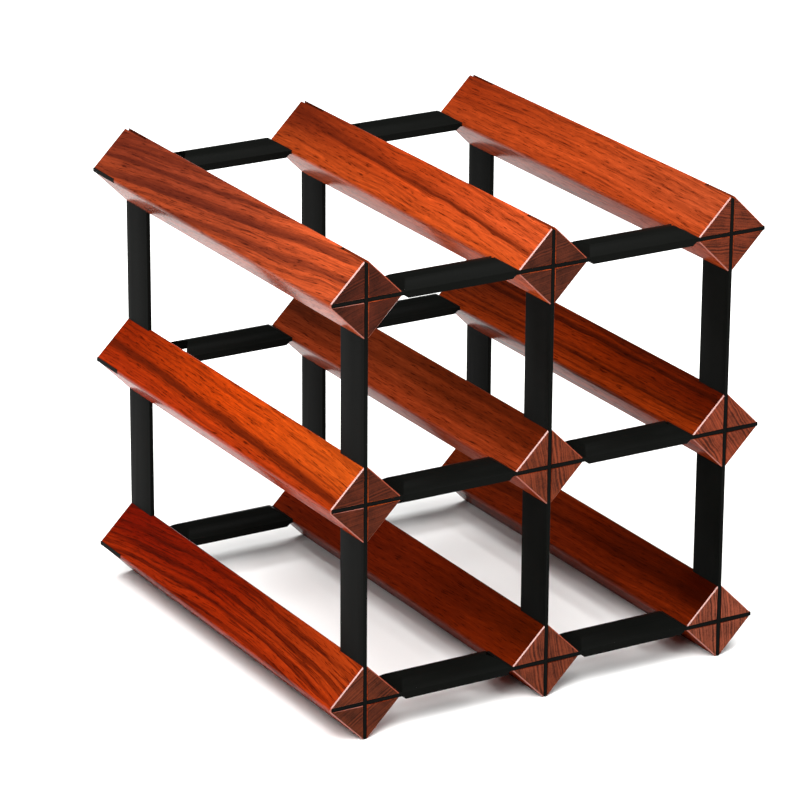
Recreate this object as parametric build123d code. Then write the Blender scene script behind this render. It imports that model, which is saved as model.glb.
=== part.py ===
from build123d import *
import os

# Wine rack for six bottles, in millimetres: nine square timber bars set corner-up, held
# front and rear by an egg-crate lattice of steel strips that sits in kerfs cut across the
# bar ends.  X is the width, the front is at -Y and Z is up.  The origin is the middle of
# the footprint, on the surface that the rack stands on.

# Driving dimensions -------------------------------------------------------------------
COLUMNS = ("left", "centre", "right")
ROWS = ("bottom", "middle", "top")
PITCH = 98.0                 # bar centre to bar centre, across and up
BAR_SIDE = 27.4              # side of the square timber section
BAR_LENGTH = 236.0           # front to rear, the depth of the rack
ARRIS_RADIUS = 2.0           # rounding of the four long edges of a bar
END_CHAMFER = 0.6            # bevel round each end face of a bar
FOOT_WIDTH = 1.8             # flat planed on the lowest edge of the bottom bars

STRIP_THICKNESS = 2.0
STRIP_WIDTH = 22.0
STRIP_EDGE_RADIUS = 0.35     # rounding of the long edges of an upright
KERF_CLEARANCE = 0.1         # play of a strip in its kerf
LAP_CLEARANCE = 0.1          # play of a strip in the notch of the strip it crosses
RAIL_OVERHANG = 0.1          # how far the right-hand end of a front rail passes the arris
KERF_WEB = 0.9               # timber left at the arris where a level kerf is blind
UPRIGHT_FOOT_GAP = 0.3       # an upright stops this far above the floor
UPRIGHT_TOP_RECESS = 1.5     # and this far inside the top arris

SADDLE_TONGUE = 1.2          # flat strip left between a bar's arris and a saddle
SADDLE_RAMP = 3.4            # length over which the saddle rises to full height
SADDLE_CROWN = 4.9           # top of the crown above the middle of the strip
SADDLE_LIP = 2.5             # foot of the turned-down lip below the middle of the strip
SADDLE_LIP_CHAMFER = 1.9     # slanted cut at both ends of a lip
SADDLE_SHOULDER = 1.0        # outer bend radius between crown and lip
SADDLE_INNER_RADIUS = 0.3    # bend radius on the inside of the shoulder

PIN_DIAMETER = 1.5
PIN_LENGTH = 14.0
PIN_TIP = 1.6                # length of the point
PIN_HEAD_DIAMETER = 2.8
PIN_HEAD_THICKNESS = 0.7
PIN_FROM_CORNER = 7.0        # up the lower right-hand face from the bottom corner
PIN_FROM_END = 7.0           # in from the end of the bar
PIN_CLEARANCE = 0.05         # radial play of a pin in its bore
PIN_HOLE_DIAMETER = 4.6      # hole punched in the upright for the slanting pin

# Worked-out sizes ---------------------------------------------------------------------
HALF_DIAGONAL = BAR_SIDE / 2 ** 0.5
ROUNDED_TIP = HALF_DIAGONAL - ARRIS_RADIUS * (2 ** 0.5 - 1)
ARRIS_MIDDLE = HALF_DIAGONAL - ARRIS_RADIUS * 2 ** 0.5
BOTTOM_ROW_HEIGHT = ARRIS_MIDDLE + (ARRIS_RADIUS ** 2 - (FOOT_WIDTH / 2) ** 2) ** 0.5
FRONT = -BAR_LENGTH / 2
STRIP_MIDDLE = FRONT + STRIP_WIDTH / 2
KERF = STRIP_THICKNESS + KERF_CLEARANCE
NOTCH = STRIP_THICKNESS + LAP_CLEARANCE
NOTCH_DEPTH = STRIP_WIDTH / 2 + LAP_CLEARANCE / 2
SADDLE_LENGTH = PITCH - 2 * ROUNDED_TIP - 2 * SADDLE_TONGUE


def column_x(column):
    """Middle of a column of bars."""
    return (column - (len(COLUMNS) - 1) / 2) * PITCH


def row_z(row):
    """Middle of a row of bars."""
    return BOTTOM_ROW_HEIGHT + row * PITCH


UPRIGHT_TOP = row_z(len(ROWS) - 1) + ROUNDED_TIP - UPRIGHT_TOP_RECESS
RAIL_LEFT = column_x(0) - ROUNDED_TIP + KERF_WEB + KERF_CLEARANCE
RAIL_RIGHT = column_x(len(COLUMNS) - 1) + ROUNDED_TIP + RAIL_OVERHANG


# Pins ---------------------------------------------------------------------------------
def pin_plane(column, row):
    """Seat of a front pin: on the lower right-hand face, looking out of the timber."""
    reach = PIN_FROM_CORNER / 2 ** 0.5
    seat = (
        column_x(column) + reach,
        FRONT + PIN_FROM_END,
        row_z(row) - HALF_DIAGONAL + reach,
    )
    return Plane(origin=seat, x_dir=(0, 1, 0), z_dir=(1, 0, -1))


def pin_body(play):
    """A headed pin pointing down -Z from its seat, grown by the play all round."""
    shank_radius = PIN_DIAMETER / 2 + play
    head_radius = PIN_HEAD_DIAMETER / 2 + play
    tip_start = -PIN_LENGTH + PIN_TIP - play
    outline = Polyline(
        (0, 0),
        (head_radius, 0),
        (head_radius, -PIN_HEAD_THICKNESS - play),
        (shank_radius, -PIN_HEAD_THICKNESS - play),
        (shank_radius, tip_start),
        (0, -PIN_LENGTH - play),
        close=True,
    )
    return revolve(Plane.XZ * make_face(outline), axis=Axis.Z)


def front_pin(column, row, play=0.0):
    return pin_plane(column, row) * pin_body(play)


# Timber bars --------------------------------------------------------------------------
def bar_blank():
    """The plain planed bar, with rounded arrises and bevelled ends, along Y."""
    section = Rot(0, 0, 45) * Rectangle(BAR_SIDE, BAR_SIDE)
    section = fillet(section.vertices(), ARRIS_RADIUS)
    bar = extrude(Plane.XZ * section, amount=BAR_LENGTH / 2, both=True)
    ends = bar.edges().filter_by_position(Axis.Y, FRONT, FRONT)
    ends += bar.edges().filter_by_position(Axis.Y, -FRONT, -FRONT)
    return chamfer(ends, END_CHAMFER)


def end_kerfs(blind):
    """The upright and level cuts across the front end of a bar at the origin.  A blind
    level cut stops short of the left-hand arris and hides the end of the rail."""
    depth = STRIP_WIDTH + KERF_CLEARANCE
    reach = HALF_DIAGONAL + 1
    left = KERF_WEB - ROUNDED_TIP if blind else -reach
    upright_cut = Box(KERF, depth + 2, 2 * reach)
    level_cut = Pos((left + reach) / 2, 0, 0) * Box(reach - left, depth + 2, KERF)
    return Pos(0, FRONT + depth / 2 - 1, 0) * (upright_cut + level_cut)


def front_and_rear(shape):
    return shape + mirror(shape, Plane.XZ)


def turned_round(shape):
    """The same shape at the other end of the rack, turned half round."""
    return Rot(0, 0, 180) * shape


def make_bar(column, row):
    """One bar in its place, with its kerfs, pin bores and, in the bottom row, its foot."""
    kerfs = end_kerfs(column == 0) + turned_round(end_kerfs(column == len(COLUMNS) - 1))
    bar = bar_blank() - kerfs
    bar = Pos(column_x(column), 0, row_z(row)) * bar
    bar -= front_and_rear(front_pin(column, row, PIN_CLEARANCE))
    if row == 0:
        below_floor = Pos(column_x(column), 0, -5) * Box(30, BAR_LENGTH + 2, 10)
        bar -= below_floor
    return bar


# Steel uprights -----------------------------------------------------------------------
def make_front_upright(column):
    """A flat strip on edge, notched from behind for the rails and punched for the pins."""
    height = UPRIGHT_TOP - UPRIGHT_FOOT_GAP
    strip = Box(STRIP_THICKNESS, STRIP_WIDTH, height)
    strip = fillet(strip.edges().filter_by(Axis.Z), STRIP_EDGE_RADIUS)
    strip = Pos(0, STRIP_MIDDLE, UPRIGHT_FOOT_GAP + height / 2) * strip
    pin_reach = HALF_DIAGONAL - 2 ** 0.5 * PIN_FROM_CORNER
    for row in range(len(ROWS)):
        notch_y = FRONT + STRIP_WIDTH - NOTCH_DEPTH / 2
        strip -= Pos(0, notch_y + 1, row_z(row)) * Box(10, NOTCH_DEPTH + 2, NOTCH)
        hole = Rot(0, 90, 0) * Cylinder(PIN_HOLE_DIAMETER / 2, 10)
        strip -= Pos(0, FRONT + PIN_FROM_END, row_z(row) - pin_reach) * hole
    return Pos(column_x(column), 0, 0) * strip


# Steel rails --------------------------------------------------------------------------
def ramp_reach(height, inset):
    """How far from the middle of a saddle its end slope is, at a height above the strip's
    middle; the inset is how far inside the outer face."""
    rise = SADDLE_CROWN - STRIP_THICKNESS / 2
    normal_shift = inset * (1 + (SADDLE_RAMP / rise) ** 2) ** 0.5
    above_foot = height - STRIP_THICKNESS / 2
    return SADDLE_LENGTH / 2 - normal_shift - above_foot * SADDLE_RAMP / rise


def saddle_form(inset):
    """The section of a saddle run along X and cut to its side view, all of it inside the
    outer faces by the inset.  The inner form is longer below, to leave the sheet open."""
    half_width = STRIP_WIDTH / 2 - inset
    crown = SADDLE_CROWN - inset
    shoulder = STRIP_THICKNESS / 2 - inset
    foot = -SADDLE_LIP - inset
    arch = ThreePointArc((-half_width, shoulder), (0, crown), (half_width, shoulder))
    sides = Polyline(
        (half_width, shoulder), (half_width, foot), (-half_width, foot), (-half_width, shoulder)
    )
    section = make_face(arch + sides)
    corners = section.vertices().group_by(Axis.Y)[-1]
    section = fillet(corners, max(SADDLE_SHOULDER - inset, SADDLE_INNER_RADIUS))
    run = extrude(Plane.YZ * section, amount=SADDLE_LENGTH / 2, both=True)

    top = crown + 1
    strip_foot = -STRIP_THICKNESS / 2
    half_view = [
        (ramp_reach(top, inset), top),
        (ramp_reach(shoulder, inset), shoulder),
        (SADDLE_LENGTH / 2 - inset, strip_foot - inset),
        (SADDLE_LENGTH / 2 - SADDLE_LIP_CHAMFER - inset, foot),
    ]
    other_half = [(-x, z) for x, z in reversed(half_view)]
    side_view = make_face(Polyline(*half_view, *other_half, close=True))
    return run & extrude(Plane.XZ * side_view, amount=STRIP_WIDTH, both=True)


def make_saddle():
    """The pressed bottle rest between two bars: a crowned sheet with two turned-down lips
    and sloping ends, open underneath."""
    return saddle_form(0) - saddle_form(STRIP_THICKNESS)


def make_front_rail(row):
    """A level strip notched from the front for the uprights, pressed into a saddle in
    each bay."""
    strip = Box(RAIL_RIGHT - RAIL_LEFT, STRIP_WIDTH, STRIP_THICKNESS)
    strip = Pos((RAIL_LEFT + RAIL_RIGHT) / 2, 0, 0) * strip
    saddle = make_saddle()
    for bay in range(len(COLUMNS) - 1):
        place = Pos(column_x(bay) + PITCH / 2, 0, 0)
        strip -= place * Box(SADDLE_LENGTH - 0.2, STRIP_WIDTH + 2, STRIP_THICKNESS + 2)
        strip += place * saddle
    for column in range(len(COLUMNS)):
        notch_y = -STRIP_WIDTH / 2 + NOTCH_DEPTH / 2
        strip -= Pos(column_x(column), notch_y - 1, 0) * Box(NOTCH, NOTCH_DEPTH + 2, 10)
    return Pos(0, STRIP_MIDDLE, row_z(row)) * strip


# Assembly -----------------------------------------------------------------------------
def single_solid(shape):
    solids = shape.solids()
    assert len(solids) == 1, f"{len(solids)} solids where one was meant"
    return solids[0]


def write(name, shape):
    export_step(shape, f"parts/{name}.step")


def rear_twin(shape):
    """Uprights and pins at the rear are the front ones seen in the rack's middle plane."""
    return mirror(shape, Plane.XZ)


os.makedirs("parts", exist_ok=True)

for row, row_name in enumerate(ROWS):
    for column, column_name in enumerate(COLUMNS):
        write(f"bar_{row_name}_{column_name}", single_solid(make_bar(column, row)))

for column, column_name in enumerate(COLUMNS):
    upright = single_solid(make_front_upright(column))
    write(f"front_upright_{column_name}", upright)
    write(f"rear_upright_{column_name}", rear_twin(upright))

for row, row_name in enumerate(ROWS):
    rail = single_solid(make_front_rail(row))
    write(f"front_rail_{row_name}", rail)
    write(f"rear_rail_{row_name}", turned_round(rail))

front_pins = [
    single_solid(front_pin(column, row))
    for row in range(len(ROWS))
    for column in range(len(COLUMNS))
]
write("front_pins", Compound(front_pins))
write("rear_pins", Compound([rear_twin(pin) for pin in front_pins]))
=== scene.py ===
import math

import bmesh
import bpy
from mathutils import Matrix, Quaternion, Vector


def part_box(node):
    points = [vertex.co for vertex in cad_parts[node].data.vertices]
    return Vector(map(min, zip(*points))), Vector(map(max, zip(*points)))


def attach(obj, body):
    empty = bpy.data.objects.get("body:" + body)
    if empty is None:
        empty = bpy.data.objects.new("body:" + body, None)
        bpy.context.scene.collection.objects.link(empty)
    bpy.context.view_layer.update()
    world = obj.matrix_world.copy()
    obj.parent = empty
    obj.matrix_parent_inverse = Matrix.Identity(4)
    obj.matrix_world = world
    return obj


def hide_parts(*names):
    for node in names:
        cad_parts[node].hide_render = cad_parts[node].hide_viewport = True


# Wine rack for six bottles: nine lacquered hardwood bars set corner-up, threaded front and
# rear on an egg-crate lattice of black powder-coated steel strip.  Lengths are in metres
# and MM turns a millimetre figure into them.  The front is at -Y and Z is up.

MM = 0.001
ROWS = ("bottom", "middle", "top")
COLUMNS = ("left", "centre", "right")
ENDS = ("front", "rear")

BAR_SIDE = 27.4 * MM
BAR_LENGTH = 236.0 * MM
ARRIS_RADIUS = 2.0 * MM
END_EASING = 0.5 * MM            # bevel round each end face
KERF_EASING = 0.25 * MM          # bevel of the kerf mouths on the end faces
KERF_WIDTH = 2.1 * MM
KERF_DEPTH = 22.1 * MM
KERF_WEB = 0.9 * MM              # timber left at the arris where a level kerf is blind

STRIP_THICKNESS = 2.0 * MM
STRIP_WIDTH = 22.0 * MM
STRIP_EDGE = 0.35 * MM           # rounding of the coated steel edges
NOTCH_WIDTH = 2.1 * MM
NOTCH_DEPTH = 11.05 * MM
NOTCHER_REACH = 5 * MM           # how far a notching tool stands off a rail
PUNCH_LENGTH = 10 * MM

SADDLE_TONGUE = 1.2 * MM         # flat strip left between a bar's arris and a saddle
SADDLE_RAMP = 3.4 * MM           # length of the slope at each end of a saddle
SADDLE_CROWN = 4.9 * MM          # top of the crown above the middle of the strip
SADDLE_ROUNDING = 7.5 * MM       # radius in side view between slope and crown
SADDLE_STEPS = 8                 # flats that make up that rounding
SADDLE_LAP = 0.1 * MM            # how far a length of strip runs into a saddle
LIP_FOOT = 2.5 * MM              # foot of the lip below the middle of the strip
LIP_SLANT = 1.9 * MM
SHOULDER = 0.6 * MM              # width of the rounding between crown and lip
RIM = 0.5 * MM                   # width of the rounding round the end slopes
RIM_ANGLE = 28                   # least angle, in degrees, of an edge that is so rounded

PIN_HEAD = 1.4 * MM
PIN_HEAD_THICKNESS = 0.7 * MM
PIN_SHANK = 0.75 * MM
PIN_LENGTH = 14.0 * MM
PIN_POINT = 1.6 * MM
PIN_HEAD_RIM = 0.35 * MM         # width of the ring inside a head's edge
PIN_HEAD_EASING = 0.15 * MM
PIN_INSET = 7.0 * MM             # from the bar's end and up from its lowest corner
PIN_PLAY = 0.05 * MM
PIN_HOLE = 2.3 * MM              # radius of the hole through the upright
PIN_TURN = -135.0                # turns a pin's axis from straight down to up and left

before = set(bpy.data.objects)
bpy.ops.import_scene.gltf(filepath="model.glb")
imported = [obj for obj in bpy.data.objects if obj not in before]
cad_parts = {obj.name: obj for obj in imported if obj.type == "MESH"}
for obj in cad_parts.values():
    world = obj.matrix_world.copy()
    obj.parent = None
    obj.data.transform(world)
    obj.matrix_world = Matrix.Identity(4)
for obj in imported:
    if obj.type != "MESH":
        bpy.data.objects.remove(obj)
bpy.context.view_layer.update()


# Places read from the frame ---------------------------------------------------------------
HALF_DIAGONAL = BAR_SIDE / math.sqrt(2)
ROUNDED_TIP = HALF_DIAGONAL - ARRIS_RADIUS * (math.sqrt(2) - 1)
BAR_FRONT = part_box("bar_middle_centre")[0].y
BAR_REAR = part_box("bar_middle_centre")[1].y


def bar_centre(row, column):
    low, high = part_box(f"bar_{row}_{column}")
    return Vector(((low.x + high.x) / 2, 0, high.z - ROUNDED_TIP))


# Modelling by hand ------------------------------------------------------------------------
def deselect_all():
    if bpy.context.mode != "OBJECT":
        bpy.ops.object.mode_set(mode="OBJECT")
    bpy.ops.object.select_all(action="DESELECT")


def take(piece):
    """Makes a piece the only selected object and the active one."""
    deselect_all()
    piece.select_set(True)
    bpy.context.view_layer.objects.active = piece
    return piece


def settle(name=None):
    """Applies the active object's place to its mesh and names it."""
    bpy.ops.object.transform_apply(location=True, rotation=True, scale=True)
    piece = bpy.context.object
    if name:
        piece.name = name
        piece.data.name = name
    return piece


def block(name, low, high, turn=(0, 0, 0)):
    """A cuboid between two corners, turned about its own middle."""
    low, high = Vector(low), Vector(high)
    deselect_all()
    bpy.ops.mesh.primitive_cube_add(
        size=1, location=(low + high) / 2, rotation=turn, scale=high - low
    )
    return settle(name)


class editing:
    """Edit mode on one piece, with nothing selected to begin with."""

    def __init__(self, piece):
        self.piece = piece

    def __enter__(self):
        take(self.piece)
        bpy.ops.object.mode_set(mode="EDIT")
        bpy.ops.mesh.select_mode(type="VERT")
        bpy.ops.mesh.select_all(action="DESELECT")
        return self

    def __exit__(self, *problem):
        bpy.ops.object.mode_set(mode="OBJECT")

    def pick(self, kind, test):
        """Selects only the vertices, edges or faces that pass a test."""
        bpy.ops.mesh.select_mode(type={"verts": "VERT", "edges": "EDGE", "faces": "FACE"}[kind])
        bpy.ops.mesh.select_all(action="DESELECT")
        mesh = bmesh.from_edit_mesh(self.piece.data)
        for part in getattr(mesh, kind):
            part.select_set(test(part))
        mesh.select_flush_mode()
        bmesh.update_edit_mesh(self.piece.data)

    def cut(self, place, normal, **options):
        """Bisects the whole mesh with a plane."""
        bpy.ops.mesh.select_all(action="SELECT")
        bpy.ops.mesh.bisect(plane_co=place, plane_no=normal, threshold=1e-7, **options)
        bpy.ops.mesh.select_all(action="DESELECT")


def middle_of(part):
    """Middle of an edge or face."""
    return sum((v.co for v in part.verts), Vector()) / len(part.verts)


def runs_along(edge, axis):
    step = edge.verts[1].co - edge.verts[0].co
    return abs(step[axis]) > 0.999 * step.length


def lies_at(part, axis, value):
    """True where every vertex of an edge or face has that coordinate."""
    return all(abs(v.co[axis] - value) < 1e-6 for v in part.verts)


def modify(piece, kind, **settings):
    """Adds a modifier and applies it."""
    take(piece)
    modifier = piece.modifiers.new(kind.title(), kind)
    for setting, value in settings.items():
        setattr(modifier, setting, value)
    bpy.ops.object.modifier_apply(modifier=modifier.name)


def carve(piece, other, operation="DIFFERENCE"):
    """Cuts another shape out of a piece, or with INTERSECT keeps only what they share."""
    modify(piece, "BOOLEAN", operation=operation, solver="EXACT", object=other)
    bpy.data.objects.remove(other)


def copy_to(piece, name, shift):
    """A copy of a piece with its own mesh, moved in edit mode so its origin stays put."""
    take(piece)
    bpy.ops.object.duplicate(linked=False)
    twin = bpy.context.object
    twin.name = name
    twin.data.name = name
    with editing(twin):
        bpy.ops.mesh.select_all(action="SELECT")
        bpy.ops.transform.translate(value=shift)
    return twin


def rear_twin(piece, name, across=1):
    """The rear twin of a front piece: mirrored, or with across=-1 turned half round."""
    twin = copy_to(piece, name, (0, 0, 0))
    with editing(twin):
        bpy.ops.mesh.select_all(action="SELECT")
        bpy.ops.transform.resize(value=(across, -1, 1), center_override=(0, 0, 0))
        bpy.ops.mesh.normals_make_consistent(inside=False)
    return twin


def join(pieces, name):
    take(pieces[0])
    for piece in pieces[1:]:
        piece.select_set(True)
    bpy.ops.object.join()
    pieces[0].name = name
    pieces[0].data.name = name
    return pieces[0]


def smooth(piece, angle=35):
    take(piece)
    bpy.ops.object.shade_smooth_by_angle(angle=math.radians(angle))


def close_up(piece):
    """Welds doubles and turns every face outwards."""
    with editing(piece):
        bpy.ops.mesh.select_all(action="SELECT")
        bpy.ops.mesh.remove_doubles(threshold=0.002 * MM)
        bpy.ops.mesh.normals_make_consistent(inside=False)


# Shader arithmetic ------------------------------------------------------------------------
class Value:
    """A shader socket that takes part in Python arithmetic."""

    def __init__(self, finish, socket):
        self.finish = finish
        self.socket = socket

    def sum_of(self, operation, first, second):
        return self.finish.node(
            "ShaderNodeMath", {"operation": operation}, {0: first, 1: second}
        )

    def __add__(self, other):
        return self.sum_of("ADD", self, other)

    def __radd__(self, other):
        return self.sum_of("ADD", other, self)

    def __sub__(self, other):
        return self.sum_of("SUBTRACT", self, other)

    def __rsub__(self, other):
        return self.sum_of("SUBTRACT", other, self)

    def __mul__(self, other):
        return self.sum_of("MULTIPLY", self, other)

    def __rmul__(self, other):
        return self.sum_of("MULTIPLY", other, self)

    def __truediv__(self, other):
        return self.sum_of("DIVIDE", self, other)

    def __rtruediv__(self, other):
        return self.sum_of("DIVIDE", other, self)


class Finish:
    """A material under construction round its Principled shader."""

    def __init__(self, name, **constants):
        self.material = bpy.data.materials.new(name)
        self.material.use_nodes = True
        self.tree = self.material.node_tree
        self.shader = self.tree.nodes["Principled BSDF"]
        for socket, value in constants.items():
            self.shader.inputs[socket.replace("_", " ")].default_value = value

    def node(self, kind, settings=None, inputs=None, output=0):
        """Any node: its settings first, then its sockets, and one of its outputs."""
        made = self.tree.nodes.new(kind)
        for setting, value in (settings or {}).items():
            if setting == "stops":
                for index, (place, colour) in enumerate(value):
                    stops = made.color_ramp.elements
                    stop = stops[index] if index < 2 else stops.new(place)
                    stop.position = place
                    stop.color = colour
            else:
                setattr(made, setting, value)
        for socket, value in (inputs or {}).items():
            self.feed(made.inputs[socket], value)
        return Value(self, made.outputs[output])

    def feed(self, socket, value):
        if isinstance(value, Value):
            self.tree.links.new(value.socket, socket)
        else:
            socket.default_value = value

    def place(self, centre=(0, 0, 0), turn=(0, 0, 0), scale=1.0):
        """Object coordinates, centred, turned and scaled."""
        where = self.node("ShaderNodeTexCoord", output="Object")
        shift = Vector(centre) * scale
        shift.rotate(Quaternion((0, 1, 0), turn[1]))
        return self.node(
            "ShaderNodeMapping",
            {"vector_type": "POINT"},
            {"Vector": where, "Location": -shift, "Rotation": turn, "Scale": (scale,) * 3},
        )

    def split(self, vector):
        made = self.tree.nodes.new("ShaderNodeSeparateXYZ")
        self.feed(made.inputs[0], vector)
        return [Value(self, socket) for socket in made.outputs]

    def gather(self, x, y, z):
        return self.node("ShaderNodeCombineXYZ", None, {0: x, 1: y, 2: z})

    def noise(self, vector, scale=1.0, detail=3.0, roughness=0.5):
        return self.node(
            "ShaderNodeTexNoise",
            {"noise_dimensions": "3D"},
            {"Vector": vector, "Scale": scale, "Detail": detail, "Roughness": roughness},
        )

    def bands(self, position):
        """Irregular stripes along one number."""
        return self.node(
            "ShaderNodeTexNoise",
            {"noise_dimensions": "1D"},
            {"W": position, "Scale": 1.0, "Detail": 3.0, "Roughness": 0.5},
        )

    def ease(self, value, low, high):
        """0 below low, 1 above high and smooth between."""
        return self.node(
            "ShaderNodeMapRange",
            {"interpolation_type": "SMOOTHSTEP"},
            {"Value": value, "From Min": low, "From Max": high},
        )

    def ramp(self, value, *stops):
        return self.node("ShaderNodeValToRGB", {"stops": stops}, {"Fac": value})

    def mix(self, factor, first, second, blend="MIX"):
        return self.node(
            "ShaderNodeMix",
            {"data_type": "RGBA", "blend_type": blend},
            {0: factor, 6: first, 7: second},
            output=2,
        )

    def bump(self, height, distance, strength=1.0):
        return self.node(
            "ShaderNodeBump",
            None,
            {"Height": height, "Distance": distance, "Strength": strength},
        )

    def use(self, **links):
        for socket, value in links.items():
            self.feed(self.shader.inputs[socket.replace("_", " ")], value)
        return self.material


def tone(red, green, blue):
    """A colour given as it looks on a screen, 0 to 255, as the linear one that nodes take."""
    return (*((c / 255 / 1.055 + 0.0521) ** 2.4 if c > 10 else c / 3294 for c in
              (red, green, blue)), 1.0)


# Timber -----------------------------------------------------------------------------------
class Bar:
    """What one bar's timber looks like.  seed makes its pattern its own.  tones are its
    colours at the rear, the middle and the front, with painted shade in them: several of the
    middle and lower bars are set darker, most at the front, for shade from the parts above.
    low is the colour towards the left-hand arris and dark the colour of its veins.  sweep is
    how far the grain has wandered across the upper left-hand face, in millimetres, at the
    same three places.  veins are dark streaks that follow it, each (place across, half width,
    depth of colour, where it begins and ends from 0 at the front to 1 at the rear).  streaks
    and broad are how strong its fine and its wide dark bands are.  cut is the colour of the
    sawn ends and turn the way their rings lie, in degrees.  gloss is how thick the lacquer is
    at the front and at the rear."""

    def __init__(
        self, seed, tones, low, dark, sweep, veins, streaks, broad, cut, turn, gloss=(0.03, 0.3)
    ):
        self.seed = seed
        self.tones = tones
        self.low = low
        self.dark = dark
        self.sweep = sweep
        self.veins = veins
        self.streaks = streaks
        self.broad = broad
        self.cut = cut
        self.turn = math.radians(turn)
        self.gloss = gloss


GLOSSY = (0.25, 0.35)
# The tones below hold each timber's own colour and also painted shade: several middle and lower
# bars are set darker, most at their front ends, for shade from the parts above.
TIMBER = {
    ("top", "left"): Bar(
        seed=11.3,
        tones=[(84, 29, 14), (106, 40, 20), (152, 60, 27)],
        low=(128, 50, 23), dark=(56, 17, 10), sweep=(-11, 1, 11),
        veins=[
            (-1, 2.6, 0.75, 0.0, 1.0),
            (-11, 2.0, 0.7, -0.2, 0.75),
            (8, 1.6, 0.4, 0.3, 1.2),
        ],
        streaks=0.5, broad=0.45, cut=(50, 20, 12), turn=60, gloss=GLOSSY,
    ),
    ("top", "centre"): Bar(
        seed=4.1,
        tones=[(82, 24, 6), (134, 44, 11), (146, 55, 22)],
        low=(150, 57, 18), dark=(64, 16, 4), sweep=(2, 1, -4),
        veins=[(0.5, 1.3, 0.85, 0.0, 0.9), (3.5, 2.4, 0.5, 0.35, 1.1)],
        streaks=0.45, broad=0.3, cut=(54, 24, 15), turn=50,
    ),
    ("top", "right"): Bar(
        seed=27.7,
        tones=[(108, 33, 7), (131, 47, 15), (129, 51, 23)],
        low=(131, 47, 15), dark=(71, 19, 5), sweep=(0, 0.5, -1.5),
        veins=[(11, 2.5, 0.35, 0.5, 1.1)],
        streaks=0.6, broad=0.2, cut=(74, 31, 18), turn=15,
    ),
    ("middle", "left"): Bar(
        seed=8.9,
        tones=[(114, 27, 2), (158, 50, 5), (152, 58, 12)],
        low=(126, 32, 5), dark=(64, 14, 2), sweep=(1, -1.5, -6),
        veins=[(-2, 2.4, 0.85, -0.1, 1.1)],
        streaks=0.5, broad=0.3, cut=(56, 23, 13), turn=45, gloss=GLOSSY,
    ),
    ("middle", "centre"): Bar(
        seed=15.2,
        tones=[(65, 22, 7), (87, 30, 9), (72, 20, 4)],
        low=(122, 43, 16), dark=(42, 10, 2), sweep=(0, 1, 2),
        veins=[(9, 3.5, 0.45, -0.1, 0.6)],
        streaks=0.25, broad=0.2, cut=(78, 34, 20), turn=-45,
    ),
    ("middle", "right"): Bar(
        seed=31.4,
        tones=[(76, 24, 5), (104, 29, 3), (66, 13, 1)],
        low=(116, 37, 6), dark=(38, 6, 1), sweep=(-1, 0, 1),
        veins=[(7, 1.8, 0.85, -0.1, 1.1), (-5, 1.0, 0.7, -0.1, 0.8), (12, 2, 0.5, 0, 1)],
        streaks=0.5, broad=0.45, cut=(84, 36, 22), turn=-30,
    ),
    ("bottom", "left"): Bar(
        seed=19.6,
        tones=[(91, 11, 1), (102, 19, 1), (130, 42, 9)],
        low=(118, 29, 3), dark=(51, 6, 1), sweep=(-6, 4, -2),
        veins=[(-2, 0.9, 0.7, 0.0, 0.9), (5, 0.8, 0.6, 0.1, 0.9), (-9, 1.2, 0.5, 0, 1)],
        streaks=0.75, broad=0.45, cut=(64, 28, 16), turn=75, gloss=GLOSSY,
    ),
    ("bottom", "centre"): Bar(
        seed=23.8,
        tones=[(78, 15, 1), (91, 23, 3), (59, 13, 1)],
        low=(93, 24, 3), dark=(43, 7, 1), sweep=(0, 0, 1),
        veins=[],
        streaks=0.2, broad=0.2, cut=(76, 34, 21), turn=-45,
    ),
    ("bottom", "right"): Bar(
        seed=42.5,
        tones=[(94, 30, 5), (86, 22, 2), (36, 4, 0)],
        low=(98, 27, 4), dark=(38, 6, 1), sweep=(-4, 0, 3),
        veins=[(2, 1.8, 0.4, 0, 1)],
        streaks=0.35, broad=0.35, cut=(92, 45, 31), turn=-50,
    ),
}


LIFT = (1.5, 1.6, 1.7, 1.0)      # how much brighter the palest fibres are, by channel
DEPTH = (0.5, 0.45, 0.45, 1.0)   # and how much darker the pores are than a vein
VEIN_FADE = 0.12                 # share of the length over which a vein comes or goes


def timber_field(finish, bar, centre):
    """Across, along and out of the upper left-hand face in millimetres, how far from the
    front each point is as 0 to 1, and how far it is across the wandering grain."""
    spot = finish.place(centre, (0, math.radians(45), 0), 1 / MM)
    across, along, out = finish.split(spot)
    length = BAR_LENGTH / MM
    progress = along / length + 0.5
    rear, middle, front = bar.sweep
    from_middle = along / (length / 2)
    slant, bow = (rear - front) / 2, (rear + front) / 2 - middle
    sweep = from_middle * slant + from_middle * from_middle * bow + middle
    slow = finish.gather(across * 0.04 + bar.seed, along * 0.012, out * 0.04)
    quick = finish.gather(across * 0.15, along * 0.035 + bar.seed, out * 0.15)
    wander = (finish.noise(slow, detail=1.0) - 0.5) * 5.0
    ripple = (finish.noise(quick, detail=2.0) - 0.5) * 1.8
    lean = (out - BAR_SIDE / MM / 2) * 0.35
    grain = across - sweep + wander + ripple + lean
    return across, along, out, progress, grain


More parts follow.
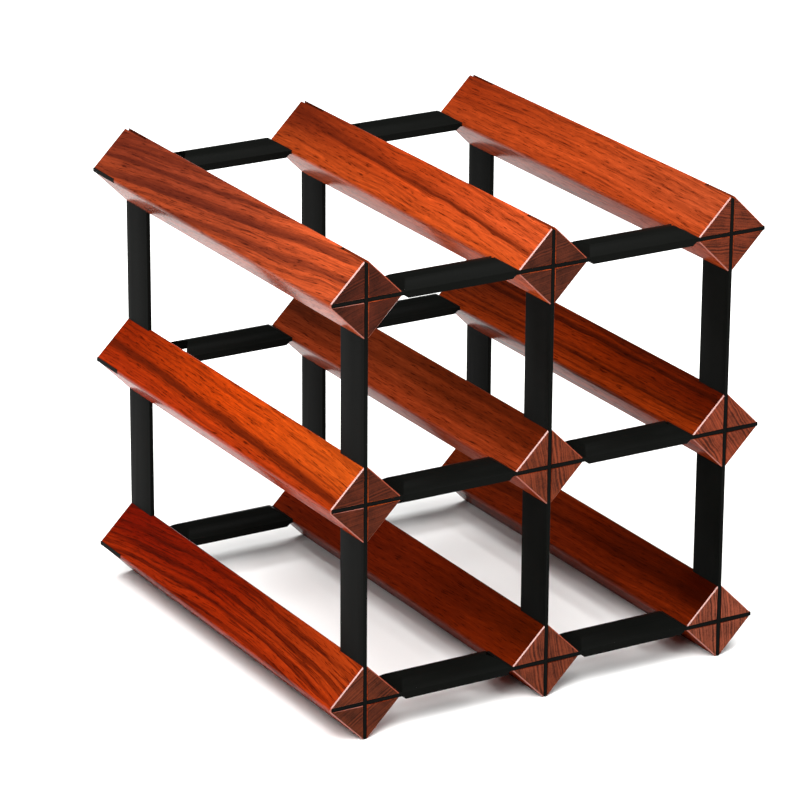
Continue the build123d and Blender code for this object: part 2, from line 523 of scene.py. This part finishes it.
def lacquered_timber(name, bar, centre):
    """Red hardwood planed along the grain, with dark veins, fine streaks and short pores,
    under clear gloss lacquer."""
    finish = Finish(name, Coat_Roughness=0.14, Coat_IOR=1.5, Specular_IOR_Level=0.004)
    across, along, out, progress, grain = timber_field(finish, bar, centre)
    dark = tone(*bar.dark)
    # painted shade: the rear, middle and front tones also darken the shaded bars and their shaded
    # front ends
    rear, middle, front = (tone(*colour) for colour in bar.tones)
    colour = finish.ramp(progress, (0.06, front), (0.94, rear), (0.5, middle))
    low_side = 1.0 - finish.ease(across, -13.0, 3.0)
    colour = finish.mix(low_side * 0.75, colour, tone(*bar.low))

    bands = finish.bands(grain * 0.28 + bar.seed)
    shadow_bands = finish.ease(bands, 0.5, 0.66)
    bright_bands = 1.0 - finish.ease(bands, 0.34, 0.5)
    colour = finish.mix(shadow_bands * bar.broad, colour, dark)
    colour = finish.mix(bright_bands * 0.35, colour, finish.mix(1.0, colour, LIFT, "MULTIPLY"))

    fibre = finish.noise(
        finish.gather(grain * 0.9, along * 0.02, out * 0.25 + bar.seed), detail=5.0, roughness=0.62
    )
    for place, half_width, depth, begins, ends in bar.veins:
        ragged = (fibre - 0.5) * 3.0
        off = grain - place + ragged
        body = finish.ease(off, -half_width, -half_width * 0.35) * (
            1.0 - finish.ease(off, half_width * 0.1, half_width * 1.7)
        )
        reach = finish.ease(progress, begins - VEIN_FADE, begins + VEIN_FADE) * (
            1.0 - finish.ease(progress, ends - VEIN_FADE, ends + VEIN_FADE)
        )
        colour = finish.mix(body * reach * depth, colour, dark)

    streaks = finish.ease(fibre, 0.5, 0.63)
    colour = finish.mix(streaks * bar.streaks, colour, dark)
    pore_noise = finish.noise(
        finish.gather(grain * 2.0, along * 0.11, out * 1.2 + bar.seed), detail=3.0, roughness=0.6
    )
    pores = finish.ease(pore_noise, 0.55, 0.68)
    colour = finish.mix(pores * 0.8, colour, finish.mix(1.0, dark, DEPTH, "MULTIPLY"))
    flecks = 1.0 - finish.ease(pore_noise, 0.33, 0.45)
    colour = finish.mix(flecks * 0.6, colour, finish.mix(1.0, colour, LIFT, "MULTIPLY"))
    relief = fibre * 0.4 - pores
    thin, thick = bar.gloss
    return finish.use(
        Base_Color=colour,
        Roughness=0.5 + pores * 0.2,
        Coat_Weight=(thin + progress * (thick - thin)) * (1.0 - pores * 0.5),
        Normal=finish.bump(relief, 0.02 * MM, 0.5),
    )


def end_grain(name, bar, centre):
    """The sawn ends: growth rings as fine lines, open pores as dots, and a thinner coat of
    lacquer."""
    finish = Finish(name, Coat_Roughness=0.25, Specular_IOR_Level=0.004)
    across, along, out, progress, grain = timber_field(finish, bar, centre)
    across_rings = grain * math.cos(bar.turn) + out * math.sin(bar.turn)
    rings = finish.bands(across_rings * 1.1 + bar.seed)
    dots = finish.noise(finish.gather(across * 1.8, along * 0.2, out * 1.8), detail=2.0)
    cloud = finish.noise(finish.gather(across * 0.12 + bar.seed, along * 0.02, out * 0.12))
    shade = rings * 0.45 + dots * 0.25 + cloud * 0.3
    colour = finish.ramp(
        shade,
        (0.38, tone(*(level * 0.55 for level in bar.cut))),
        (0.5, tone(*bar.cut)),
        (0.62, tone(*(level * 1.3 for level in bar.cut))),
    )
    pores = finish.ease(dots, 0.62, 0.72)
    colour = finish.mix(pores * 0.45, colour, tone(26, 9, 6))
    return finish.use(
        Base_Color=colour,
        Roughness=0.6 + pores * 0.2,
        Coat_Weight=0.03 - pores * 0.02,
        Normal=finish.bump(shade - pores, 0.03 * MM, 0.5),
    )


def eased_edge():
    """The narrow bevels round the ends, thickly lacquered and coloured paler than the timber as a
    painted highlight that varies in patches.
    """
    finish = Finish("lacquered_eased_edge", Coat_Roughness=0.22, Specular_IOR_Level=0.2)
    spot = finish.place(scale=1 / MM)
    wear_and_sheen = finish.noise(spot, scale=0.35, detail=4.0)
    fibre = finish.noise(spot, scale=1.6, detail=3.0)
    # painted highlight: both tones are paler than the timber so that the bevels look lit; the noise
    # varies them in patches
    colour = finish.mix(wear_and_sheen, tone(104, 42, 27), tone(140, 66, 44))
    return finish.use(
        Base_Color=finish.mix(finish.ease(fibre, 0.55, 0.7) * 0.5, colour, tone(60, 22, 14)),
        Roughness=0.35 + wear_and_sheen * 0.2,
        Coat_Weight=0.5 + wear_and_sheen * 0.3,
        Normal=finish.bump(fibre, 0.01 * MM, 0.4),
    )


def powder_coat():
    """Satin black powder coat: a faint orange-peel skin, clouded a little."""
    finish = Finish("satin_black_powder_coat", Specular_IOR_Level=0.007)
    spot = finish.place(scale=1 / MM)
    peel = finish.noise(spot, scale=1.1, detail=2.0)
    speck = finish.noise(spot, scale=4.5, detail=2.0)
    cloud = finish.noise(spot, scale=0.03, detail=2.0)
    colour = finish.mix(cloud, (0.0022, 0.0024, 0.0021, 1), (0.0034, 0.0036, 0.0032, 1))
    return finish.use(
        Base_Color=colour,
        Roughness=0.24 + cloud * 0.06 + speck * 0.06,
        Normal=finish.bump(peel + speck * 0.3, 0.02 * MM, 0.5),
    )


def pin_steel():
    """Bright drawn steel with turning marks and faint tarnish."""
    finish = Finish("bright_pin_steel", Metallic=1.0)
    spot = finish.place(scale=1 / MM)
    marks = finish.noise(spot, scale=6.0, detail=3.0)
    tarnish = finish.noise(spot, scale=0.8, detail=2.0)
    colour = finish.mix(tarnish, (0.42, 0.41, 0.39, 1), (0.60, 0.59, 0.57, 1))
    return finish.use(
        Base_Color=colour,
        Roughness=0.25 + marks * 0.2,
        Normal=finish.bump(marks, 0.01 * MM, 0.5),
    )


# Pins -------------------------------------------------------------------------------------
def pin_seat(centre, end):
    """Where a pin's head sits, on the lower right-hand face of a bar."""
    reach = PIN_INSET / math.sqrt(2)
    along = BAR_FRONT + PIN_INSET if end == "front" else BAR_REAR - PIN_INSET
    return Vector((centre.x + reach, along, centre.z - HALF_DIAGONAL + reach))


def make_pin(name, seat, play=0.0):
    """A headed pin: its axis leans 45 degrees, up and to the left into the timber."""
    head = PIN_HEAD + play
    shank = PIN_SHANK + play
    deck = PIN_HEAD_THICKNESS + play
    deselect_all()
    bpy.ops.mesh.primitive_cylinder_add(
        vertices=24, radius=head, depth=deck, location=(0, 0, -deck / 2)
    )
    pin = settle(name)
    with editing(pin) as edit:
        edit.pick("faces", lambda face: lies_at(face, 2, -deck))
        bpy.ops.mesh.inset(thickness=head - shank)
        for depth in (PIN_LENGTH + play - deck - PIN_POINT, PIN_POINT):
            bpy.ops.mesh.extrude_region_move(TRANSFORM_OT_translate={"value": (0, 0, -depth)})
        bpy.ops.mesh.merge(type="CENTER")
        if play == 0.0:
            edit.pick("faces", lambda face: lies_at(face, 2, 0))
            bpy.ops.mesh.inset(thickness=PIN_HEAD_RIM)
            edit.pick("edges", lambda edge: lies_at(edge, 2, 0) and len(edge.link_faces) == 2
                      and abs(edge.verts[0].co.length - head) < 1e-6)
            bpy.ops.mesh.bevel(offset=PIN_HEAD_EASING, segments=2, affect="EDGES")
        bpy.ops.mesh.select_all(action="SELECT")
        bpy.ops.transform.rotate(
            value=math.radians(PIN_TURN), orient_axis="Y", center_override=(0, 0, 0)
        )
        bpy.ops.transform.translate(value=seat)
    return pin


# Bars -------------------------------------------------------------------------------------
SAWN_END = 0.9                   # least y of the normal of an end face
END_BEVEL = 0.5                  # and of a bevel round it


def make_blank():
    """One bar about the origin, with rounded arrises and eased ends and no cuts."""
    half = BAR_SIDE / 2
    bar = block(
        "blank", (-half, BAR_FRONT, -half), (half, BAR_REAR, half), (0, math.radians(45), 0)
    )
    with editing(bar) as edit:
        edit.pick("edges", lambda edge: runs_along(edge, 1))
        bpy.ops.mesh.bevel(offset=ARRIS_RADIUS, segments=8, affect="EDGES")
        edit.pick(
            "edges", lambda edge: lies_at(edge, 1, BAR_FRONT) or lies_at(edge, 1, BAR_REAR)
        )
        bpy.ops.mesh.bevel(offset=END_EASING, segments=1, affect="EDGES")
    return bar


def saw_kerfs(bar, end, blind):
    """The crossed kerfs at one end.  A blind level kerf stops short of the left-hand arris
    at the front, or of the right-hand one at the rear."""
    half = KERF_WIDTH / 2
    far = HALF_DIAGONAL + 2 * MM
    front = end == "front"
    mouth = BAR_FRONT - MM if front else BAR_REAR - KERF_DEPTH
    floor = BAR_FRONT + KERF_DEPTH if front else BAR_REAR + MM
    stop = ROUNDED_TIP - KERF_WEB if blind else far
    left, right = (-stop, far) if front else (-far, stop)
    carve(bar, block("saw", (-half, mouth, -far), (half, floor, far)))
    carve(bar, block("saw", (left, mouth, -half), (right, floor, half)))
    carve(bar, make_pin("bit", pin_seat(Vector((0, 0, 0)), end), PIN_PLAY))
    face = BAR_FRONT if front else BAR_REAR
    with editing(bar) as edit:
        edit.pick(
            "edges",
            lambda edge: lies_at(edge, 1, face) and edge.calc_length() > MM
            and (runs_along(edge, 0) or runs_along(edge, 2)),
        )
        bpy.ops.mesh.bevel(offset=KERF_EASING, segments=1, affect="EDGES")


def make_bar(blank, row, column):
    centre = bar_centre(row, column)
    bar = copy_to(blank, f"lacquered_bar_{row}_{column}", (0, 0, 0))
    saw_kerfs(bar, "front", column == "left")
    saw_kerfs(bar, "rear", column == "right")
    with editing(bar) as edit:
        bpy.ops.mesh.select_all(action="SELECT")
        bpy.ops.transform.translate(value=centre)
        if row == "bottom":
            edit.cut((0, 0, 0), (0, 0, 1), use_fill=True, clear_inner=True)
    close_up(bar)
    nature = TIMBER[row, column]
    bar.data.materials.clear()
    bar.data.materials.append(lacquered_timber(f"timber_{row}_{column}", nature, centre))
    bar.data.materials.append(end_grain(f"end_grain_{row}_{column}", nature, centre))
    bar.data.materials.append(edge_lacquer)
    for face in bar.data.polygons:
        endward = abs(face.normal.y)
        face.material_index = 1 if endward > SAWN_END else 2 if endward > END_BEVEL else 0
    smooth(bar)
    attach(bar, "root")
    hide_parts(f"bar_{row}_{column}")


# Uprights ---------------------------------------------------------------------------------
def make_front_upright(column):
    low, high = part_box(f"front_upright_{column}")
    upright = block(f"steel_upright_front_{column}", low, high)
    with editing(upright) as edit:
        edit.pick("edges", lambda edge: runs_along(edge, 2))
        bpy.ops.mesh.bevel(offset=STRIP_EDGE, segments=4, affect="EDGES")
    middle_x = (low.x + high.x) / 2
    for row in ROWS:
        centre = bar_centre(row, column)
        half = NOTCH_WIDTH / 2
        carve(
            upright,
            block(
                "notcher",
                (low.x - MM, high.y - NOTCH_DEPTH, centre.z - half),
                (high.x + MM, high.y + MM, centre.z + half),
            ),
        )
        pin_drop = HALF_DIAGONAL - math.sqrt(2) * PIN_INSET
        deselect_all()
        bpy.ops.mesh.primitive_cylinder_add(
            vertices=32,
            radius=PIN_HOLE,
            depth=PUNCH_LENGTH,
            location=(middle_x, BAR_FRONT + PIN_INSET, centre.z - pin_drop),
            rotation=(0, math.radians(90), 0),
        )
        carve(upright, settle("punch"))
    close_up(upright)
    return upright


def finish_steel(piece, coat, node):
    piece.data.materials.clear()
    piece.data.materials.append(coat)
    smooth(piece)
    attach(piece, "root")
    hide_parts(node)


# Rails ------------------------------------------------------------------------------------
def make_saddle_form(middle, length, inset, rounding):
    """A saddle as a solid lump, all of it inside the outer faces by the inset: an arch with
    rounded shoulders, upright sides and ends cut on a rounded slope."""
    half_width = STRIP_WIDTH / 2 - inset
    half_length = length / 2
    crown = middle.z + SADDLE_CROWN - inset
    shoulder = middle.z + STRIP_THICKNESS / 2 - inset
    foot = middle.z - LIP_FOOT - inset
    rise = SADDLE_CROWN - STRIP_THICKNESS / 2
    radius = (half_width ** 2 + rise ** 2) / (2 * rise)
    form = block(
        "saddle_form",
        (middle.x - half_length - MM, middle.y - half_width, foot),
        (middle.x + half_length + MM, middle.y + half_width, crown + MM),
    )
    deselect_all()
    bpy.ops.mesh.primitive_cylinder_add(
        vertices=240,
        radius=radius,
        depth=length + 6 * MM,
        location=(middle.x, middle.y, crown - radius),
        rotation=(0, math.radians(90), 0),
    )
    carve(form, settle("arch"), "INTERSECT")

    steepest = math.atan2(rise, SADDLE_RAMP)
    centre_in = (
        SADDLE_ROUNDING + math.cos(steepest) * (rise - SADDLE_ROUNDING)
    ) / math.sin(steepest)
    with editing(form) as edit:
        edit.pick(
            "edges",
            lambda edge: runs_along(edge, 0)
            and all(abs(v.co.z - shoulder) < 0.1 * MM for v in edge.verts)
            and all(abs(abs(v.co.y - middle.y) - half_width) < 0.02 * MM for v in edge.verts),
        )
        bpy.ops.mesh.bevel(offset=rounding, segments=4, affect="EDGES")
        for side in (-1, 1):
            end = middle.x + side * half_length
            strip_foot = middle.z - STRIP_THICKNESS / 2
            edit.cut((end - side * inset, 0, 0), (side, 0, 0), use_fill=True, clear_outer=True)
            slant = Vector((side * (LIP_FOOT - STRIP_THICKNESS / 2), 0, -LIP_SLANT))
            edit.cut(
                (end - side * inset, 0, strip_foot - inset), slant, use_fill=True, clear_outer=True
            )
            for step in range(SADDLE_STEPS):
                angle = steepest * (1 - step / SADDLE_STEPS)
                outward = Vector((side * math.sin(angle), 0, math.cos(angle)))
                hub = Vector((end - side * centre_in, 0, shoulder + inset + rise - SADDLE_ROUNDING))
                edit.cut(
                    hub + outward * (SADDLE_ROUNDING - inset), outward,
                    use_fill=True, clear_outer=True,
                )
        if inset == 0:
            edit.pick(
                "edges",
                lambda edge: math.degrees(edge.calc_face_angle(0)) > RIM_ANGLE
                and middle_of(edge).z > shoulder + 0.4 * MM,
            )
            bpy.ops.mesh.bevel(offset=RIM, segments=3, affect="EDGES")
    close_up(form)
    return form


def make_strip(low, high):
    """A length of flat strip along X with rounded long edges."""
    strip = block("strip", low, high)
    with editing(strip) as edit:
        edit.pick("edges", lambda edge: runs_along(edge, 0))
        bpy.ops.mesh.bevel(offset=STRIP_EDGE, segments=3, affect="EDGES")
    return strip


def make_front_rail(row):
    low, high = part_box(f"front_rail_{row}")
    middle = Vector((0, (low.y + high.y) / 2, low.z + LIP_FOOT))
    columns = [bar_centre(row, column).x for column in COLUMNS]
    length = columns[1] - columns[0] - 2 * ROUNDED_TIP - 2 * SADDLE_TONGUE
    half = Vector((0, STRIP_WIDTH / 2, STRIP_THICKNESS / 2))
    bays = [(a + b) / 2 for a, b in zip(columns, columns[1:])]
    reaches = [low.x]
    for bay in bays:
        reaches += [bay - length / 2 + SADDLE_LAP, bay + length / 2 - SADDLE_LAP]
    reaches += [high.x]

    shells = []
    for left, right in zip(reaches[::2], reaches[1::2]):
        shells.append(
            make_strip(middle - half + Vector((left, 0, 0)), middle + half + Vector((right, 0, 0)))
        )
    for strip, x in zip(shells, columns):
        carve(
            strip,
            block(
                "notcher",
                (x - NOTCH_WIDTH / 2, low.y - MM, middle.z - NOTCHER_REACH),
                (x + NOTCH_WIDTH / 2, low.y + NOTCH_DEPTH, middle.z + NOTCHER_REACH),
            ),
        )
    for bay in bays:
        place = middle + Vector((bay, 0, 0))
        saddle = make_saddle_form(place, length, 0, SHOULDER)
        carve(saddle, make_saddle_form(place, length, STRIP_THICKNESS, SHOULDER / 2))
        shells.append(saddle)
    rail = join(shells, f"saddle_rail_front_{row}")
    close_up(rail)
    return rail


# Assembly ---------------------------------------------------------------------------------
blank = make_blank()
edge_lacquer = eased_edge()
for row in ROWS:
    for column in COLUMNS:
        make_bar(blank, row, column)
bpy.data.objects.remove(blank)

coat = powder_coat()
for column in COLUMNS:
    front = make_front_upright(column)
    rear = rear_twin(front, f"steel_upright_rear_{column}")
    finish_steel(front, coat, f"front_upright_{column}")
    finish_steel(rear, coat, f"rear_upright_{column}")

for row in ROWS:
    front = make_front_rail(row)
    rear = rear_twin(front, f"saddle_rail_rear_{row}", across=-1)
    finish_steel(front, coat, f"front_rail_{row}")
    finish_steel(rear, coat, f"rear_rail_{row}")

steel = pin_steel()
for end in ENDS:
    pins = [
        make_pin(f"pin_{row}_{column}", pin_seat(bar_centre(row, column), end))
        for row in ROWS
        for column in COLUMNS
    ]
    pins = join(pins, f"bright_pins_{end}")
    pins.data.materials.clear()
    pins.data.materials.append(steel)
    smooth(pins)
    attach(pins, "root")
    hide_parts(f"{end}_pins")


# Stage ------------------------------------------------------------------------------------
def make_floor():
    """A flat sheet of pale paper under the rack."""
    deselect_all()
    bpy.ops.mesh.primitive_plane_add(size=14, location=(0, 0, -0.05 * MM))
    floor = settle("floor")
    paper = Finish("pale_paper", Roughness=0.9, Specular_IOR_Level=0.1)
    mottle = paper.noise(paper.place(), scale=3.0, detail=2.0)
    paper.use(Base_Color=paper.mix(mottle, (0.88, 0.88, 0.87, 1), (0.91, 0.91, 0.9, 1)))
    floor.data.materials.append(paper.material)


def add_softbox(name, azimuth, elevation, distance, size, power):
    """A square area light aimed at the middle of the rack."""
    aim = Vector((0, 0, 0.11))
    a, e = math.radians(azimuth), math.radians(elevation)
    back = Vector((math.sin(a) * math.cos(e), -math.cos(a) * math.cos(e), math.sin(e)))
    lamp = bpy.data.lights.new(name, "AREA")
    lamp.size = size
    lamp.energy = power
    holder = bpy.data.objects.new(name, lamp)
    bpy.context.scene.collection.objects.link(holder)
    holder.location = aim + back * distance
    holder.rotation_mode = "QUATERNION"
    holder.rotation_quaternion = (-back).to_track_quat("-Z", "Y")


def set_camera(azimuth, elevation, roll, distance, aim, lens):
    a, e = math.radians(azimuth), math.radians(elevation)
    back = Vector((math.sin(a) * math.cos(e), -math.cos(a) * math.cos(e), math.sin(e)))
    camera = bpy.data.cameras.new("camera")
    camera.lens = lens
    camera.sensor_width = 36
    camera.clip_end = 50
    holder = bpy.data.objects.new("camera", camera)
    bpy.context.scene.collection.objects.link(holder)
    holder.location = Vector(aim) + back * distance
    holder.rotation_mode = "QUATERNION"
    tilt = Quaternion((0, 0, 1), math.radians(roll))
    holder.rotation_quaternion = (-back).to_track_quat("-Z", "Y") @ tilt
    bpy.context.scene.camera = holder


def set_world(strength):
    world = bpy.data.worlds.new("studio")
    world.use_nodes = True
    background = world.node_tree.nodes["Background"]
    background.inputs["Color"].default_value = (1, 1, 1, 1)
    background.inputs["Strength"].default_value = strength
    bpy.context.scene.world = world


make_floor()
set_world(strength=0.06)
add_softbox("key_light", azimuth=-42, elevation=40, distance=2.2, size=1.0, power=60)
add_softbox("fill_light", azimuth=30, elevation=20, distance=2.2, size=0.6, power=24)
add_softbox("top_light", azimuth=0, elevation=89, distance=2.6, size=3.4, power=190)
set_camera(
    azimuth=-30.25, elevation=20.22, roll=0.355, distance=2.083,
    aim=(-0.0140, -0.0040, 0.11537), lens=194.0,
)
bpy.context.scene.view_settings.view_transform = "Standard"
